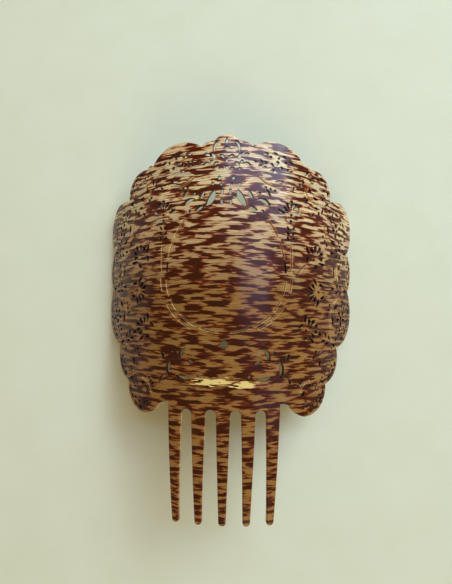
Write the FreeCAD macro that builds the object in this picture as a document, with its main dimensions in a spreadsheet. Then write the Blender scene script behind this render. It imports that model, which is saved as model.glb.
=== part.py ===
"""Decorative hair comb: a pierced, scalloped heading bent from one thickness of sheet, over five teeth.

Every piece of the heading is drawn flat, cut and pierced, and then bent on one cylinder. X runs across
the comb, Y from the tooth tips to the crest, and Z out of the convex face. The origin is the middle of
the comb on the surface that it lies on, convex side up. Millimetres and degrees.
"""
import FreeCAD, Part
import math
import os
import Sketcher
from FreeCAD import Base, Placement, Rotation, Vector

SIZES = {
    "overall_width": 165.0,  # straight across, over the widest scallops
    "bend_half_angle": 59.0,  # from the middle of the comb to its widest scallops
    "sheet_thickness": 3.0,
    "heading_height": 168.5,  # crest above the tops of the tooth gaps
    "tooth_length": 70.0,  # tips below the tops of the tooth gaps
    "tooth_width": 8.8,
    "tooth_gap": 6.6,
    "tooth_tip_width": 4.6,
    "tooth_bend_radius": 420.0,  # the teeth curve lengthwise to the hollow side
    "root_depth": 4.5,  # the teeth are joined to the bar this far below the gap tops
    "bar_height": 10.0,  # top of the plain bar above the gap tops
    "scroll_band_top": 43.0,
    "lattice_band_bottom": 51.0,  # below the crest
    "crown_bottom": 24.0,  # below the crest
    "centre_half_width": 46.0,  # seam between the middle and the borders, along the sheet
    "crest_half_width": 15.8,
    "medallion_half_width": 38.0,
    "medallion_rise": 49.0,  # of the oval above its widest line; it runs up behind the lattice band
    "slit_width": 0.9,
    "plain_rim": 7.5,  # unpierced edge of the broad scallops
    "pierced_rim": 3.0,  # unpierced edge of the others
    "drop_hole_radius": 2.4,
    "seam_inset": 4.0,  # the borders are joined this far below the cut between two scallops
}
TOOTH_COUNT = 5


class Sizes:
    """The driving dimensions, read back from the document's sheet, and what follows from them."""

    def __init__(self, sheet):
        for name in SIZES:
            setattr(self, name, float(sheet.get(name)))
        self.half_angle = math.radians(self.bend_half_angle)
        self.bend_radius = self.overall_width / 2 / math.sin(self.half_angle)
        self.reach = self.bend_radius * self.half_angle
        self.axis_height = -(self.bend_radius - self.sheet_thickness) * math.cos(self.half_angle)
        self.gap_line = (self.tooth_length - self.heading_height) / 2
        self.pitch = self.tooth_width + self.tooth_gap
        self.row_half = self.pitch * (TOOTH_COUNT - 1) / 2 + self.tooth_width / 2
        self.notch_height = self.root_depth - 1


# Flat outlines. A path is a start point and then steps (via, end): an arc through via, or a line
# where via is None.


def moved(path, x, y, turn=0.0):
    """The path turned by so many degrees about its own origin and then put at x, y."""
    c = math.cos(math.radians(turn))
    s = math.sin(math.radians(turn))

    def put(point):
        return None if point is None else (x + point[0] * c - point[1] * s, y + point[0] * s + point[1] * c)

    return [put(path[0])] + [(put(via), put(end)) for via, end in path[1:]]


def mirrored(path):
    """The path on the other side of the comb's middle line."""

    def flip(point):
        return None if point is None else (-point[0], point[1])

    return [flip(path[0])] + [(flip(via), flip(end)) for via, end in path[1:]]


def dot(radius):
    return [(radius, 0), ((0, radius), (-radius, 0)), ((0, -radius), (radius, 0))]


def leaf(length, width, bow=0.0):
    """A leaf with two points, lying along X, whose middle is bowed sideways."""
    half = length / 2
    return [(-half, 0), ((0, bow + width / 2), (half, 0)), ((0, bow - width / 2), (-half, 0))]


def slot(length, width):
    """A straight slot with round ends, lying along X."""
    r = width / 2
    a = length / 2 - r
    return [(-a, -r), (None, (a, -r)), ((a + r, 0), (a, r)), (None, (-a, r)), ((-a - r, 0), (-a, -r))]


def drop(length, width):
    """A teardrop with its point at the origin and its round end along +X."""
    r = width / 2
    return [(0, 0), (None, (length - r, -r)), ((length, 0), (length - r, r)), (None, (0, 0))]


def ribbon(length, bow, width):
    """A curved slit of even width, bowed towards +Y."""
    radius = (length * length / 4 + bow * bow) / (2 * bow)
    half_turn = math.asin(min(1.0, length / 2 / radius))
    path = []
    for r, sense in ((radius + width / 2, 1), (radius - width / 2, -1)):
        ends = [(-sense * r * math.sin(half_turn), r * math.cos(half_turn) - radius + bow)]
        ends.append((sense * r * math.sin(half_turn), ends[0][1]))
        path += [ends[0]] if not path else [(None, ends[0])]
        path.append(((0, r - radius + bow), ends[1]))
    return path + [(None, path[0])]


def flower(size, petals):
    """A pierced eye with petals round it."""
    shapes = [dot(0.17 * size)]
    for i in range(petals):
        turn = 90 + 360 * i / petals
        a = math.radians(turn)
        petal = drop(0.62 * size, 0.4 * size)
        shapes.append(moved(petal, 0.36 * size * math.cos(a), 0.36 * size * math.sin(a), turn))
    return shapes


def spray(length, pairs):
    """Pairs of leaves along a stem that grows towards +X, with a bud at its end."""
    step = length / (pairs + 1)
    shapes = [moved(drop(0.9 * step, 0.42 * step), length - 0.8 * step, 0)]
    for i in range(pairs):
        for side in (1, -1):
            piece = leaf(0.88 * step, 0.34 * step, side * 0.08 * step)
            shapes.append(moved(piece, (i + 0.5) * step, side * 0.5 * step, side * 38))
    return shapes


def palmette(size, blades):
    """A fan of blades round +X, over an eye. The outer blades are shorter."""
    shapes = [moved(dot(0.12 * size), -0.3 * size, 0)]
    for i in range(blades):
        turn = 32 * (i - (blades - 1) / 2)
        a = math.radians(turn)
        blade = drop(size * (1 - 0.25 * abs(turn) / 64), 0.34 * size)
        shapes.append(moved(blade, 0.36 * size * math.cos(a), 0.36 * size * math.sin(a), turn))
    return shapes


def scallop_through(start, end, reach):
    """The point where a scallop from start to end touches the comb's widest line."""
    inset_a = reach - start[0]
    inset_b = reach - end[0]
    if abs(inset_a - inset_b) < 1e-6:
        return (reach, (start[1] + end[1]) / 2)
    slope = (end[1] - start[1]) / (end[0] - start[0])
    meet = start[1] + slope * inset_a
    tangent = math.sqrt(inset_a * inset_b * (1 + slope * slope))
    sign = 1 if (start[1] - meet) > 0 else -1
    return (reach, meet + sign * tangent)


def bulge(start, end, rise):
    """The top of a scallop from start to end, to the left of that direction."""
    dx = end[0] - start[0]
    dy = end[1] - start[1]
    chord = math.hypot(dx, dy)
    return ((start[0] + end[0]) / 2 - dy / chord * rise, (start[1] + end[1]) / 2 + dx / chord * rise)


def right_scallops(s):
    """The seven scallops of the right side, from the crest down, as (start, top, end, rim)."""
    top, reach = s.heading_height, s.reach
    shoulder = (s.crest_half_width, top - 7.3)
    curl = (reach - 48.5, top - 16.8)
    second = (reach - 44.0, top - 18.2)
    third = (reach - 26.0, top - 37.0)
    sixth = (reach - 18.5, 37.0)
    seventh = (reach - 29.5, 14.3)
    tip = (reach - 46.5, -5.0)
    side = third[1] - sixth[1]
    fourth = (reach - 5.5, sixth[1] + 0.66 * side)
    fifth = (reach - 4.5, sixth[1] + 0.39 * side)
    return [
        (shoulder, bulge(shoulder, curl, 7.2), curl, s.plain_rim),
        (second, bulge(second, third, 6.4), third, s.pierced_rim),
        (third, scallop_through(third, fourth, reach), fourth, s.plain_rim),
        (fourth, scallop_through(fourth, fifth, reach), fifth, s.pierced_rim),
        (fifth, scallop_through(fifth, sixth, reach), sixth, s.pierced_rim),
        (sixth, bulge(sixth, seventh, 5.2), seventh, s.pierced_rim),
        (seventh, bulge(seventh, tip, 5.5), tip, s.pierced_rim),
    ]


def right_outline(s):
    """The right half of the heading's edge, from the crest down to the middle tooth's root."""
    top = s.heading_height
    scallops = right_scallops(s)
    path = [(0, top), ((4.6, top - 1.4), (7.6, top - 4.4)), ((11.5, top - 4.7), scallops[0][0])]
    _, through, curl, _ = scallops[0]
    path.append((through, curl))
    second = scallops[1][0]
    path.append((((curl[0] + second[0]) / 2 + 0.6, (curl[1] + second[1]) / 2 + 1.6), second))
    path += [(through, end) for _, through, end, _ in scallops[1:]]
    tip = scallops[-1][2]
    notch = (s.row_half + 6.3, s.notch_height - 1.2)
    path.append(((tip[0] - 6.6, tip[1] + 2.6), notch))
    path.append(((notch[0] - 2.6, s.notch_height - 0.2), (s.row_half + 0.6, s.notch_height)))
    path.append((None, (s.row_half, s.notch_height)))
    path.append((None, (s.row_half, -s.root_depth)))
    r = s.tooth_gap / 2
    for i in range((TOOTH_COUNT - 1) // 2):
        middle = s.row_half - s.tooth_width - r - i * s.pitch
        path.append((None, (middle + r, -s.root_depth)))
        path.append((None, (middle + r, -r)))
        path.append(((middle, 0), (middle - r, -r)))
        path.append((None, (middle - r, -s.root_depth)))
    path.append((None, (0, -s.root_depth)))
    return path


# The piercings, drawn for the right half and mirrored, or drawn on the middle line.


def scallop_piercings(start, through, end, rim):
    """Leaves along the rim of a scallop, a flower under them and sprays at its root."""
    dx, dy = end[0] - start[0], end[1] - start[1]
    chord = math.hypot(dx, dy)
    middle = ((start[0] + end[0]) / 2, (start[1] + end[1]) / 2)
    out = (-dy / chord, dx / chord)
    rise = (through[0] - middle[0]) * out[0] + (through[1] - middle[1]) * out[1]
    turn = math.degrees(math.atan2(dy, dx)) + (0 if rise > 0 else 180)
    rise = abs(rise)
    radius = (chord * chord / 4 + rise * rise) / (2 * rise)
    shapes = []
    inner = radius - rim
    leaf_length = 3.4
    spread = 0.62 * math.asin(min(1.0, chord / 2 / radius))
    count = max(2, 1 + int(2 * spread * inner / (leaf_length + 1.2)))
    for i in range(count):
        a = spread * (2 * i / (count - 1) - 1)
        place = (inner * math.sin(a), rise - radius + inner * math.cos(a))
        shapes.append(moved(leaf(leaf_length, 1.3, 0.5), place[0], place[1], -math.degrees(a)))
        if i < count - 1:
            b = a + spread / (count - 1)
            place = ((inner - 1.9) * math.sin(b), rise - radius + (inner - 1.9) * math.cos(b))
            shapes.append(moved(dot(0.6), place[0], place[1]))
    size = 0.125 * chord
    low = rise - rim - size - 3.6
    shapes += [moved(piece, 0, low) for piece in flower(size, 5)]
    for side in (1, -1):
        for piece in spray(0.23 * chord, 2):
            shapes.append(moved(piece, side * (size + 1.5), low - 0.4, 0 if side > 0 else 180))
        below = leaf(0.15 * chord, 1.4, -0.4)
        shapes.append(moved(below, side * 0.12 * chord, low - size - 2.6, side * 24))
    root = low - size - 6.0 - 0.03 * chord
    shapes.append(moved(ribbon(0.46 * chord, 0.07 * chord, 0.9), 0, root + 0.07 * chord, 180))
    shapes += [moved(dot(0.7), side * 0.085 * chord, root - 2.4) for side in (1, 0, -1)]
    return [moved(piece, middle[0], middle[1], turn) for piece in shapes]


def valley_piercings(valley, turn, pairs):
    """A drop that points to the cut between two scallops, with a spray behind it."""
    shapes = [moved(drop(4.2, 1.7), 6.6, 0, 180)]
    if pairs:
        shapes += [moved(piece, 8.6, 0) for piece in spray(3.7 * (pairs + 1), pairs)]
    return [moved(piece, valley[0], valley[1], turn) for piece in shapes]


def crown_piercings(s):
    """The crest: a drop under the dome, two long hoops and a cluster of petals below."""
    top = s.heading_height
    one_side = [
        moved(leaf(8.0, 1.5, 1.5), 6.1, top - 7.6, -68),
        moved(leaf(3.6, 1.4, 0.5), 3.0, top - 14.2, 35),
        moved(leaf(4.4, 1.9, 0.3), 8.3, top - 13.8, 62),
        moved(leaf(3.8, 1.7, 0.3), 12.2, top - 13.0, 25),
        moved(leaf(3.4, 1.5, 0.4), 6.4, top - 18.6, -30),
        moved(leaf(4.2, 1.5, 0.4), 12.6, top - 18.6, -20),
        moved(dot(0.8), 9.4, top - 17.0),
        moved(leaf(3.0, 1.2), 3.4, top - 21.4, 0),
        moved(dot(0.7), 8.0, top - 21.6),
    ]
    middle = [
        moved(drop(3.8, 2.4), 0, top - 2.2, -90),
        moved(leaf(4.6, 1.3, 0.9), 0, top - 9.4),
        moved(drop(3.2, 1.6), 0, top - 14.6, -90),
        moved(dot(0.8), 0, top - 20.6),
    ]
    return middle + one_side + [mirrored(piece) for piece in one_side]


def lattice_piercings(s):
    """The lattice of small slots under the crown, with broad leaves on both sides."""
    top = s.heading_height
    one_side = [
        moved(slot(2.2, 1.5), 4.3, top - 27.4, 90),
        moved(slot(1.8, 1.4), 8.4, top - 30.9, 90),
        moved(slot(1.7, 1.2), 3.2, top - 31.4, 90),
        moved(slot(3.3, 1.3), 2.6, top - 35.9, 90),
        moved(slot(3.6, 1.3), 2.8, top - 42.2, 90),
        moved(slot(1.9, 1.1), 5.0, top - 38.9, 0),
        moved(leaf(11.6, 4.0, 0.9), 10.0, top - 39.6, 118),
        moved(leaf(6.2, 1.9, 0.6), 15.6, top - 37.4, 118),
        moved(leaf(5.4, 2.2, 0.4), 16.8, top - 45.6, 152),
        moved(leaf(8.6, 2.6, -0.8), 23.6, top - 42.0, 150),
        moved(leaf(5.0, 1.6, 0.5), 26.6, top - 36.2, 120),
        moved(dot(0.9), 20.2, top - 36.6),
        moved(dot(0.8), 22.6, top - 47.6),
    ]
    return one_side + [mirrored(piece) for piece in one_side]


def oval_slit(centre, half_width, half_height, low, high, width):
    """A curved slit on half of an oval, between two of its angles."""
    ends = []
    for angle in (low, high):
        a = math.radians(angle)
        ends.append((half_width * math.cos(a), centre + half_height * math.sin(a)))
    mid = math.radians((low + high) / 2)
    via = (half_width * math.cos(mid), centre + half_height * math.sin(mid))
    dx, dy = ends[0][0] - ends[1][0], ends[0][1] - ends[1][1]
    length = math.hypot(dx, dy)
    middle = ((ends[0][0] + ends[1][0]) / 2, (ends[0][1] + ends[1][1]) / 2)
    bow = math.hypot(via[0] - middle[0], via[1] - middle[1])
    return moved(ribbon(length, bow, width), middle[0], middle[1], math.degrees(math.atan2(dy, dx)))


def medallion_oval(s):
    """The height of the oval's widest line, and how far the oval goes down from there."""
    lattice = s.heading_height - s.lattice_band_bottom
    middle = (s.scroll_band_top + lattice) / 2
    return middle, middle - s.scroll_band_top - 3.5


def medallion_piercings(s):
    """The broken double line round the plain medallion."""
    centre, fall = medallion_oval(s)
    wide = s.medallion_half_width
    one_side = []
    for low, high in ((4, 11), (14, 27), (31, 46)):
        one_side.append(oval_slit(centre, wide, s.medallion_rise, low, high, s.slit_width))
    for low, high in ((-20, -3), (-37, -24), (-62, -43), (-84, -67)):
        one_side.append(oval_slit(centre, wide, fall, low, high, s.slit_width))
    for low, high in ((-14, -1), (-44, -28), (-60, -47)):
        one_side.append(oval_slit(centre, wide + 4.0, fall + 2.5, low, high, s.slit_width))
    one_side.append(moved(ribbon(16.0, 0.5, s.slit_width), wide + 3.4, centre + 12.0, -90))
    return one_side + [mirrored(piece) for piece in one_side]


def scroll_piercings(s):
    """The scrolls between the medallion and the plain bar: an eye, acanthus curls and two long hooks."""
    top = s.scroll_band_top
    one_side = [
        moved(leaf(8.4, 2.5, 1.6), 11.4, top - 9.0, -28),
        moved(leaf(6.0, 2.0, -1.2), 18.6, top - 10.0, 22),
        moved(leaf(8.0, 2.4, 1.6), 25.6, top - 10.0, -62),
        moved(leaf(4.6, 1.6, 0.5), 21.0, top - 14.8, 20),
        moved(leaf(11.0, 2.6, 1.8), 34.2, top - 18.6, -86),
        moved(leaf(10.4, 2.0, -1.1), 25.0, top - 23.4, 4),
        moved(leaf(5.0, 1.7, 0.4), 40.0, top - 11.4, 60),
        moved(leaf(5.2, 1.6, 0.5), 40.4, top - 25.6, -58),
        moved(dot(0.9), 31.0, top - 8.6),
        moved(dot(0.8), 15.6, top - 23.0),
    ]
    eye = [moved(dot(s.drop_hole_radius), 0, top - s.drop_hole_radius - 1.2)]
    return eye + one_side + [mirrored(piece) for piece in one_side]


def acanthus(size):
    """A cluster of cut leaves: a palmette between two pairs of side leaves."""
    shapes = palmette(size, 5)
    for side in (1, -1):
        outer = leaf(0.9 * size, 0.28 * size, side * 0.1 * size)
        lower = leaf(0.7 * size, 0.25 * size, side * 0.1 * size)
        shapes.append(moved(outer, 0.1 * size, side * 1.15 * size, side * 62))
        shapes.append(moved(lower, -0.75 * size, side * 0.6 * size, side * 20))
    return shapes


def acanthus_piercings(s):
    """The clusters between the borders and the medallion, and the line that leads down to its ring."""
    middle, _ = medallion_oval(s)
    side = s.centre_half_width
    one_side = [moved(piece, side - 4.6, middle + 41.0, 90) for piece in acanthus(5.6)]
    one_side += [moved(piece, side - 4.8, middle + 23.0, 90) for piece in spray(13.0, 3)]
    for across, along, turn, size in ((13.4, 14.0, 55, 6.0), (15.0, -8.0, 190, 5.8), (8.6, -31.5, 20, 6.0)):
        one_side += [moved(piece, side + across, middle + along, turn) for piece in acanthus(size)]
    one_side.append(moved(ribbon(13.6, 1.2, s.slit_width), side + 2.1, middle + 3.6, 52))
    return one_side + [mirrored(piece) for piece in one_side]


def border_piercings(s):
    """The pierced work of both borders."""
    scallops = right_scallops(s)
    one_side = []
    for start, through, end, rim in scallops:
        one_side += scallop_piercings(start, through, end, rim)
    valleys = ((1, 228, 2), (2, 212, 2), (3, 183, 2), (4, 176, 2), (5, 152, 2), (6, 152, 0))
    for index, turn, pairs in valleys:
        one_side += valley_piercings(scallops[index][0], turn, pairs)
    return one_side + [mirrored(piece) for piece in one_side]


# From the flat pattern to the bent piece.


def flat_edges(path):
    """The edges of a path in the XY plane."""
    edges = []
    here = Vector(path[0][0], path[0][1], 0)
    for via, end in path[1:]:
        there = Vector(end[0], end[1], 0)
        if via is None:
            edges.append(Part.LineSegment(here, there).toShape())
        else:
            edges.append(Part.Arc(here, Vector(via[0], via[1], 0), there).toShape())
        here = there
    return edges


def flat_heading(s):
    """The whole heading as one flat face, not yet pierced."""
    right = flat_edges(right_outline(s))
    left = flat_edges(mirrored(right_outline(s)))
    return Part.Face(Part.Wire(Part.__sortEdges__(right + left)))


def flat_piece(heading, piercings, box):
    """The part of the flat heading inside a box (left, right, low, high), with its piercings cut."""
    left, right, low, high = box
    blank = heading.common(Part.makePlane(right - left, high - low, Vector(left, low, 0)))
    near = [hole for hole in piercings if hole.BoundBox.intersect(blank.BoundBox)]
    pierced = blank.cut(near) if near else blank
    return max(pierced.Faces, key=lambda face: face.Area)


def cylinder(radius):
    surface = Part.Cylinder()
    surface.Radius = radius
    return surface


def flat_curve(edge, girth_radius):
    """The edge as a curve in a cylinder's own coordinates: across becomes angle, along stays."""
    if edge.Curve.TypeId == "Part::GeomLine":
        ends = [edge.firstVertex(True).Point, edge.lastVertex(True).Point]
        a, b = [Base.Vector2d(point.x / girth_radius, point.y) for point in ends]
        return Part.Geom2d.Line2dSegment(a, b)
    arc = edge.Curve.trim(edge.FirstParameter, edge.LastParameter).toBSpline()
    poles = [Base.Vector2d(pole.x / girth_radius, pole.y) for pole in arc.getPoles()]
    weights, knots, counts = arc.getWeights(), arc.getKnots(), arc.getMultiplicities()
    if edge.Orientation == "Reversed":
        poles.reverse()
        weights.reverse()
        counts.reverse()
        knots = [knots[0] + knots[-1] - knot for knot in reversed(knots)]
    curve = Part.Geom2d.BSplineCurve2d()
    curve.buildFromPolesMultsKnots(poles, counts, knots, False, arc.Degree, weights)
    return curve


def flat_curves(wire, girth_radius):
    """The curves of a closed wire, in order and counter-clockwise."""
    curves = [flat_curve(edge, girth_radius) for edge in wire.OrderedEdges]
    points = [curve.value(curve.FirstParameter) for curve in curves]
    points += [curve.value((curve.FirstParameter + curve.LastParameter) / 2) for curve in curves]
    points[::2], points[1::2] = points[: len(curves)], points[len(curves) :]
    doubled = sum(a.x * b.y - b.x * a.y for a, b in zip(points, points[1:] + points[:1]))
    if doubled < 0:
        curves.reverse()
        for curve in curves:
            curve.reverse()
    return curves


def bent(face, girth_radius, thickness):
    """The flat face as a solid of that thickness, bent on a cylinder. Its walls stay square to the sheet."""
    holes = [wire for wire in face.Wires if not wire.isSame(face.OuterWire)]
    curves = [flat_curves(wire, girth_radius) for wire in [face.OuterWire] + holes]
    skins = []
    rows = []
    for radius in (girth_radius, girth_radius - thickness):
        surface = cylinder(radius)
        wires = [[curve.toShape(surface) for curve in loop] for loop in curves]
        skin = Part.Face(surface, Part.Wire(wires[0]))
        if holes:
            skin.cutHoles([Part.Wire(wire).reversed() for wire in wires[1:]])
        skins.append(skin)
        rows.append([edge for wire in wires for edge in wire])
    walls = [Part.makeRuledSurface(outer, inner) for outer, inner in zip(rows[0], rows[1])]
    shell = Part.makeCompound(skins + walls)
    shell.sewShape()
    return Part.Solid(shell.Shells[0])


def heading_boxes(s):
    """Each piece of the heading and the box it is cut from: left, right, low, high on the flat sheet."""
    far = s.reach + 10
    mid = s.centre_half_width
    top = s.heading_height
    scallops = right_scallops(s)
    upper = scallops[2][0][1] - s.seam_inset
    lower = scallops[5][0][1] - s.seam_inset
    lattice = top - s.lattice_band_bottom
    boxes = {
        "tooth_bar": (-mid, mid, -far, s.bar_height),
        "scroll_band": (-mid, mid, s.bar_height, s.scroll_band_top),
        "medallion": (-mid, mid, s.scroll_band_top, lattice),
        "lattice_band": (-mid, mid, lattice, top - s.crown_bottom),
        "crown": (-mid, mid, top - s.crown_bottom, top + far),
    }
    rows = {"lower": (-far, lower), "middle": (lower, upper), "upper": (upper, top + far)}
    for row, (low, high) in rows.items():
        boxes["right_%s_border" % row] = (mid, far, low, high)
        boxes["left_%s_border" % row] = (-far, -mid, low, high)
    return boxes


def add_heading(doc, s):
    """Every piece of the heading, as objects of the document."""
    heading = flat_heading(s)
    paths = crown_piercings(s) + lattice_piercings(s) + medallion_piercings(s)
    paths += scroll_piercings(s) + acanthus_piercings(s) + border_piercings(s)
    piercings = [Part.Face(Part.Wire(flat_edges(path))) for path in paths]
    pieces = []
    for name, box in heading_boxes(s).items():
        piece = doc.addObject("Part::Feature", name)
        piece.Label = name
        piece.Shape = bent(flat_piece(heading, piercings, box), s.bend_radius, s.sheet_thickness)
        piece.Placement = Placement(Vector(0, s.gap_line, s.axis_height), Rotation(Vector(1, 1, 1), 240))
        pieces.append(piece)
    return pieces


# The teeth.


def tooth_outline(body):
    """The front outline of a tooth, from its root along X down to its round tip."""
    sketch = body.newObject("Sketcher::SketchObject", body.Name + "_outline")
    plane = [item for item in body.Origin.OriginFeatures if item.Role == "XY_Plane"][0]
    sketch.AttachmentSupport = [(plane, "")]
    sketch.MapMode = "FlatFace"
    width, tip, length = SIZES["tooth_width"] / 2, SIZES["tooth_tip_width"] / 2, SIZES["tooth_length"]
    centre = Vector(0, tip - length, 0)
    sketch.addGeometry(Part.LineSegment(Vector(-width, 0, 0), Vector(width, 0, 0)))
    sketch.addGeometry(Part.LineSegment(Vector(width, 0, 0), Vector(tip, tip - length, 0)))
    circle = Part.Circle(centre, Vector(0, 0, 1), tip)
    sketch.addGeometry(Part.ArcOfCircle(circle, math.pi, 2 * math.pi))
    sketch.addGeometry(Part.LineSegment(Vector(-tip, tip - length, 0), Vector(-width, 0, 0)))
    add = sketch.addConstraint
    add(Sketcher.Constraint("Coincident", 0, 2, 1, 1))
    add(Sketcher.Constraint("Coincident", 3, 2, 0, 1))
    add(Sketcher.Constraint("Tangent", 1, 2, 2, 2))
    add(Sketcher.Constraint("Tangent", 2, 1, 3, 1))
    add(Sketcher.Constraint("Symmetric", 0, 1, 0, 2, -1, 1))
    add(Sketcher.Constraint("Horizontal", 0))
    add(Sketcher.Constraint("PointOnObject", 2, 3, -2))
    named = (
        ("root_width", Sketcher.Constraint("DistanceX", 0, 1, 0, 2, 2 * width), "Sizes.tooth_width"),
        ("tip_radius", Sketcher.Constraint("Radius", 2, tip), "Sizes.tooth_tip_width / 2"),
        (
            "tip_depth",
            Sketcher.Constraint("DistanceY", 2, 3, 0, 1, length - tip),
            "Sizes.tooth_length - Sizes.root_depth - Sizes.tooth_tip_width / 2",
        ),
    )
    for name, constraint, expression in named:
        index = add(constraint)
        sketch.renameConstraint(index, name)
        sketch.setExpression("Constraints." + name, expression)
    return sketch


def add_tooth_shell(doc):
    """The bent thickness that every tooth is cut from: the sheet's section carried along a wide arc."""
    rings = []
    inner_radius = "Sizes.bend_radius - Sizes.sheet_thickness"
    for name, radius in (("outer", "Sizes.bend_radius"), ("inner", inner_radius)):
        ring = doc.addObject("Part::Torus", "tooth_shell_" + name)
        ring.setExpression("Radius1", "Sizes.tooth_bend_radius")
        ring.setExpression("Radius2", radius)
        ring.Placement = Placement(Vector(), Rotation(Vector(0, 1, 0), 90))
        ring.setExpression("Placement.Base.y", "Sizes.root_line")
        ring.setExpression("Placement.Base.z", "Sizes.axis_height - Sizes.tooth_bend_radius")
        rings.append(ring)
    shell = doc.addObject("Part::Cut", "tooth_shell")
    shell.Base, shell.Tool = rings
    return shell


def add_teeth(doc):
    """Five teeth, side by side on the bend, each an outline cut from the bent thickness."""
    shell = add_tooth_shell(doc)
    teeth = []
    for i in range(TOOTH_COUNT):
        blank = doc.addObject("PartDesign::Body", "tooth_blank_%d" % (i + 1))
        sketch = tooth_outline(blank)
        pad = blank.newObject("PartDesign::Pad", "tooth_pad_%d" % (i + 1))
        pad.Profile = sketch
        pad.Reversed = True
        depth = "3 + Sizes.sheet_thickness + Sizes.tooth_length ^ 2 / Sizes.tooth_bend_radius"
        pad.setExpression("Length", depth)
        angle = "(%d * (Sizes.tooth_width + Sizes.tooth_gap) / Sizes.bend_radius * 180 / pi)" % (
            i - (TOOTH_COUNT - 1) // 2
        )
        blank.Placement = Placement(Vector(), Rotation(Vector(0, 1, 0), 0))
        blank.setExpression("Placement.Rotation.Angle", angle)
        blank.setExpression("Placement.Base.x", "(Sizes.bend_radius + 2) * sin(%s)" % angle)
        blank.setExpression("Placement.Base.y", "Sizes.root_line")
        height = "Sizes.axis_height + (Sizes.bend_radius + 2) * cos(%s)" % angle
        blank.setExpression("Placement.Base.z", height)
        tooth = doc.addObject("Part::Common", "tooth_%d" % (i + 1))
        tooth.Base = blank
        tooth.Tool = shell
        tooth.Label = "tooth_%d" % (i + 1)
        teeth.append(tooth)
    return teeth


def add_sheet(doc):
    """The spreadsheet with the driving dimensions, and the lines that the teeth are placed by."""
    sheet = doc.addObject("Spreadsheet::Sheet", "Sizes")
    for row, (name, value) in enumerate(SIZES.items(), start=1):
        sheet.set("A%d" % row, name)
        sheet.set("B%d" % row, repr(value))
        sheet.setAlias("B%d" % row, name)
    bend_radius = "overall_width / 2 / sin(bend_half_angle)"
    followers = (
        ("bend_radius", "=" + bend_radius),
        ("axis_height", "=(sheet_thickness - %s) * cos(bend_half_angle)" % bend_radius),
        ("root_line", "=(tooth_length - heading_height) / 2 - root_depth"),
    )
    for row, (name, formula) in enumerate(followers, start=len(SIZES) + 1):
        sheet.set("A%d" % row, name)
        sheet.set("B%d" % row, formula)
        sheet.setAlias("B%d" % row, name)
    doc.recompute()
    return sheet


def main():
    doc = FreeCAD.newDocument("hair_comb")
    sizes = Sizes(add_sheet(doc))
    pieces = add_heading(doc, sizes) + add_teeth(doc)
    doc.recompute()
    for item in doc.Objects:
        if "Invalid" in item.State or "Error" in item.State:
            raise RuntimeError("%s did not recompute: %s" % (item.Label, item.State))
    os.makedirs("parts", exist_ok=True)
    for piece in pieces:
        if piece.Shape.isNull() or not piece.Shape.isValid():
            raise RuntimeError("%s has no valid shape" % piece.Label)
        if len(piece.Shape.Solids) != 1:
            raise RuntimeError("%s has %d solids" % (piece.Label, len(piece.Shape.Solids)))
        piece.Shape.exportStep(os.path.join("parts", piece.Label + ".step"))
        print("%-22s %9.1f mm3" % (piece.Label, piece.Shape.Volume))


main()
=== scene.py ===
"""A decorative hair comb: a scalloped, pierced heading bent from one sheet, over five long teeth.

The comb is polished cellulose acetate in imitation of tortoiseshell: short amber and dark slivers,
pressed into a sheet, which is pierced with a fretsaw, rounded at its edges and bent while hot.
Each CAD piece is laid flat, gets rounded edges and a fine smooth skin, and is bent back in its place.
"""

import logging
import math
from dataclasses import dataclass, field
from enum import Enum

import bpy
import numpy as np
from mathutils import Matrix, Vector
from mathutils.geometry import delaunay_2d_cdt

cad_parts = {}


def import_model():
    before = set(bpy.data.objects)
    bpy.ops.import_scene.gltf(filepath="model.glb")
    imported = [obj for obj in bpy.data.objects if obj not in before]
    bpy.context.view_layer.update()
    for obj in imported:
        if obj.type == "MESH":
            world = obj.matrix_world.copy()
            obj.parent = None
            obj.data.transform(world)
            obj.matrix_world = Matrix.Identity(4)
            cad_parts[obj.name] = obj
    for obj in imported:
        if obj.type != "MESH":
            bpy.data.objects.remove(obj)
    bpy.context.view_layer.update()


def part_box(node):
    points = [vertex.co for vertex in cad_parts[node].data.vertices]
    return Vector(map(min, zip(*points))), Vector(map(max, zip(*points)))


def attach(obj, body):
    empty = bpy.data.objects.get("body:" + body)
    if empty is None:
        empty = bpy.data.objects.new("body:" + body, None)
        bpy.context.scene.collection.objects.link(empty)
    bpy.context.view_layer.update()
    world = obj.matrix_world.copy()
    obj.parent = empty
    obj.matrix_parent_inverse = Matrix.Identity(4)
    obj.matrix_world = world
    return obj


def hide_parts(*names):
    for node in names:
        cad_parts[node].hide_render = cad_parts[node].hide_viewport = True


MM = 0.001
TOUCH = 5e-6  # points this near, in metres, are the same place
TINY = 1e-12
LOG = logging.getLogger("hair_comb")

Tree = bpy.types.NodeTree
Socket = bpy.types.NodeSocket


class Slot(Enum):
    """The record's material slots."""

    HEADING = "heading_sheet"
    TEETH = "tooth_sheet"


class Surface(Enum):
    """The kinds of surface on a piece of sheet, by their place in its list of materials."""

    POLISHED = 0  # the two faces and the rounded outer edge
    SAWN = 1  # the outer wall, and slits too narrow to polish; paler partly as painted highlight
    RIM = 2  # the rims and walls of the wider piercings, darkened as painted shade


# Materials.


def linear(colour: str) -> tuple[float, float, float, float]:
    """An sRGB hex colour as linear light with full alpha."""
    parts = [int(colour[i : i + 2], 16) / 255 for i in (1, 3, 5)]
    return tuple(c / 12.92 if c <= 0.04045 else ((c + 0.055) / 1.055) ** 2.4 for c in parts) + (1.0,)


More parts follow.
